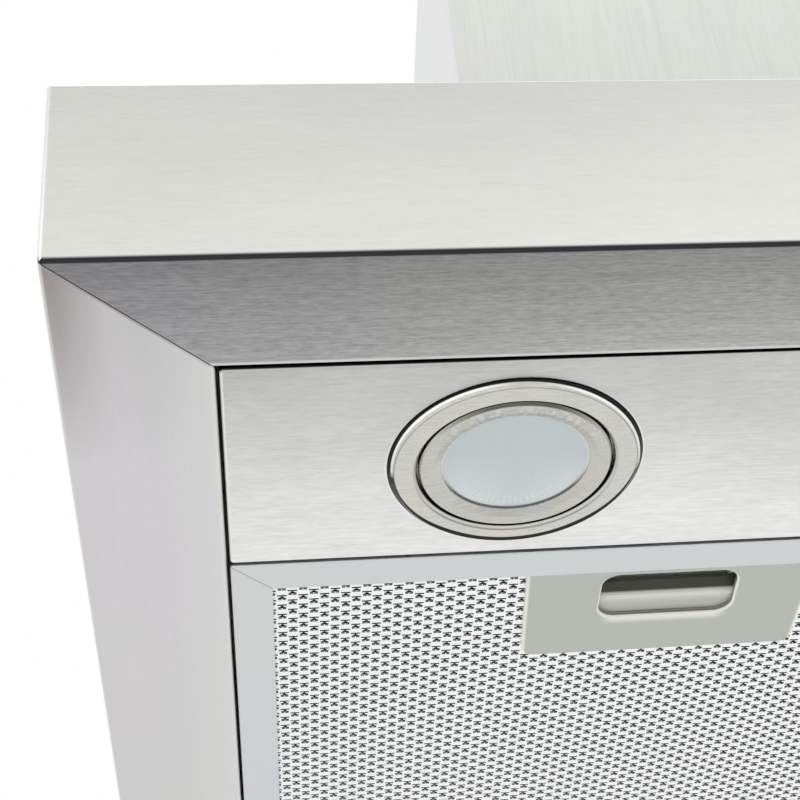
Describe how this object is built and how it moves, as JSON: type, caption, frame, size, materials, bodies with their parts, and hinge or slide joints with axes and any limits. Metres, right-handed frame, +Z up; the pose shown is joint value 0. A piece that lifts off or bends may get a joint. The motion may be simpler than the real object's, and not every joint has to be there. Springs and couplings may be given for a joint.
{
  "type": "wall mount range hood",
  "caption": "Pyramid canopy range hood for a wall, with a telescopic chimney, lamps, push buttons, latched mesh grease filters, a blower and a damped duct collar.",
  "frame": {"origin": "middle of the four wall bolts, on the wall's face", "axes": "+X to the right along the wall, +Y into the wall, +Z up"},
  "size_m": [0.5942, 0.4886, 0.497],
  "materials": {
    "stainless": "satin",
    "galvanised": "matt spangle",
    "plated_steel": "bright",
    "lamp_ring": "satin with polished edges",
    "lamp_glass": "frosted",
    "lamp_can": "plain",
    "lamp_led": "matt",
    "filter_aluminium": "satin",
    "filter_mesh": "bright",
    "handle_plastic": "fine satin",
    "spring_steel": "plain",
    "button_metal": "satin",
    "bezel_metal": "satin",
    "black_plastic": "matt",
    "white_plastic": "matt",
    "scroll_plastic": "matt",
    "motor_metal": "cast",
    "rubber": "matt",
    "collar_plastic": "matt"
  },
  "bodies": {
    "hood": {"blower_box": "galvanised", "blower_screws": "plated_steel", "canopy_back": "galvanised", "canopy_front": "stainless", "canopy_left": "stainless", "canopy_right": "stainless", "canopy_top": "galvanised", "capacitor_clip": "galvanised", "chimney_screws": "plated_steel", "cord_gland": "black_plastic", "damper_pin": "plated_steel", "junction_box": "black_plastic", "junction_cover": "white_plastic", "lamp_bezel_left": "lamp_ring", "lamp_bezel_right": "lamp_ring", "lamp_can_left": "lamp_can", "lamp_can_right": "lamp_can", "lamp_clips": "spring_steel", "lamp_led_left": "lamp_led", "lamp_led_right": "lamp_led", "lamp_lens_left": "lamp_glass", "lamp_lens_right": "lamp_glass", "lamp_ring_left": "lamp_ring", "lamp_ring_right": "lamp_ring", "light_panel": "stainless", "lower_chimney": "stainless", "motor": "motor_metal", "motor_bracket": "galvanised", "motor_mounts": "rubber", "outlet_collar": "collar_plastic", "panel_screws": "plated_steel", "run_capacitor": "white_plastic", "scroll_left": "scroll_plastic", "scroll_right": "scroll_plastic", "scroll_wrap": "scroll_plastic", "switch_bezel": "bezel_metal", "switch_block": "black_plastic"},
    "upper_chimney": {"upper_chimney": "stainless", "upper_bracket": "galvanised", "bracket_rivets": "plated_steel"},
    "impeller": {"impeller": "scroll_plastic", "motor_shaft": "plated_steel"},
    "damper_front": {"damper_flap_front": "collar_plastic"},
    "damper_rear": {"damper_flap_rear": "collar_plastic"},
    "button_1": {"button_1": "button_metal"},
    "button_2": {"button_2": "button_metal"},
    "button_3": {"button_3": "button_metal"},
    "button_4": {"button_4": "button_metal"},
    "button_5": {"button_5": "button_metal"},
    "filter_left": {"filter_frame_left": "filter_aluminium", "filter_mesh_left": "filter_mesh", "filter_handle_left": "handle_plastic", "latch_spring_left": "spring_steel"},
    "latch_left": {"latch_left": "handle_plastic"},
    "filter_right": {"filter_frame_right": "filter_aluminium", "filter_mesh_right": "filter_mesh", "filter_handle_right": "handle_plastic", "latch_spring_right": "spring_steel"},
    "latch_right": {"latch_right": "handle_plastic"}
  },
  "joints": [
    {"name": "chimney_slide", "type": "slide", "parent": "hood", "child": "upper_chimney", "axis": [0, 0, 1], "range_m": [0, 0.2]},
    {"name": "impeller_spin", "type": "hinge", "parent": "hood", "child": "impeller", "pos_m": [0, -0.097, 0.165], "axis": [1, 0, 0], "continuous": true},
    {"name": "damper_front_swing", "type": "hinge", "parent": "hood", "child": "damper_front", "pos_m": [0, -0.14175, 0.276], "axis": [-1, 0, 0], "range_deg": [0, 80]},
    {"name": "damper_rear_swing", "type": "hinge", "parent": "hood", "child": "damper_rear", "pos_m": [0, -0.14175, 0.276], "axis": [1, 0, 0], "range_deg": [0, 80]},
    {"name": "button_1_press", "type": "slide", "parent": "hood", "child": "button_1", "axis": [0, 1, 0], "range_m": [0, 0.0025], "stiffness_N_per_m": 200, "springref_m": -0.001},
    {"name": "button_2_press", "type": "slide", "parent": "hood", "child": "button_2", "axis": [0, 1, 0], "range_m": [0, 0.0025], "stiffness_N_per_m": 200, "springref_m": -0.001},
    {"name": "button_3_press", "type": "slide", "parent": "hood", "child": "button_3", "axis": [0, 1, 0], "range_m": [0, 0.0025], "stiffness_N_per_m": 200, "springref_m": -0.001},
    {"name": "button_4_press", "type": "slide", "parent": "hood", "child": "button_4", "axis": [0, 1, 0], "range_m": [0, 0.0025], "stiffness_N_per_m": 200, "springref_m": -0.001},
    {"name": "button_5_press", "type": "slide", "parent": "hood", "child": "button_5", "axis": [0, 1, 0], "range_m": [0, 0.0025], "stiffness_N_per_m": 200, "springref_m": -0.001},
    {"name": "filter_left_swing", "type": "hinge", "parent": "hood", "child": "filter_left", "pos_m": [-0.129, -0.0402, -0.12], "axis": [1, 0, 0], "range_deg": [0, 80]},
    {"name": "latch_left_slide", "type": "slide", "parent": "filter_left", "child": "latch_left", "axis": [0, 1, 0], "range_m": [0, 0.005], "stiffness_N_per_m": 300, "springref_m": -0.004, "deforming": ["latch_spring_left"]},
    {"name": "filter_right_swing", "type": "hinge", "parent": "hood", "child": "filter_right", "pos_m": [0.129, -0.0402, -0.12], "axis": [1, 0, 0], "range_deg": [0, 80]},
    {"name": "latch_right_slide", "type": "slide", "parent": "filter_right", "child": "latch_right", "axis": [0, 1, 0], "range_m": [0, 0.005], "stiffness_N_per_m": 300, "springref_m": -0.004, "deforming": ["latch_spring_right"]}
  ]
}
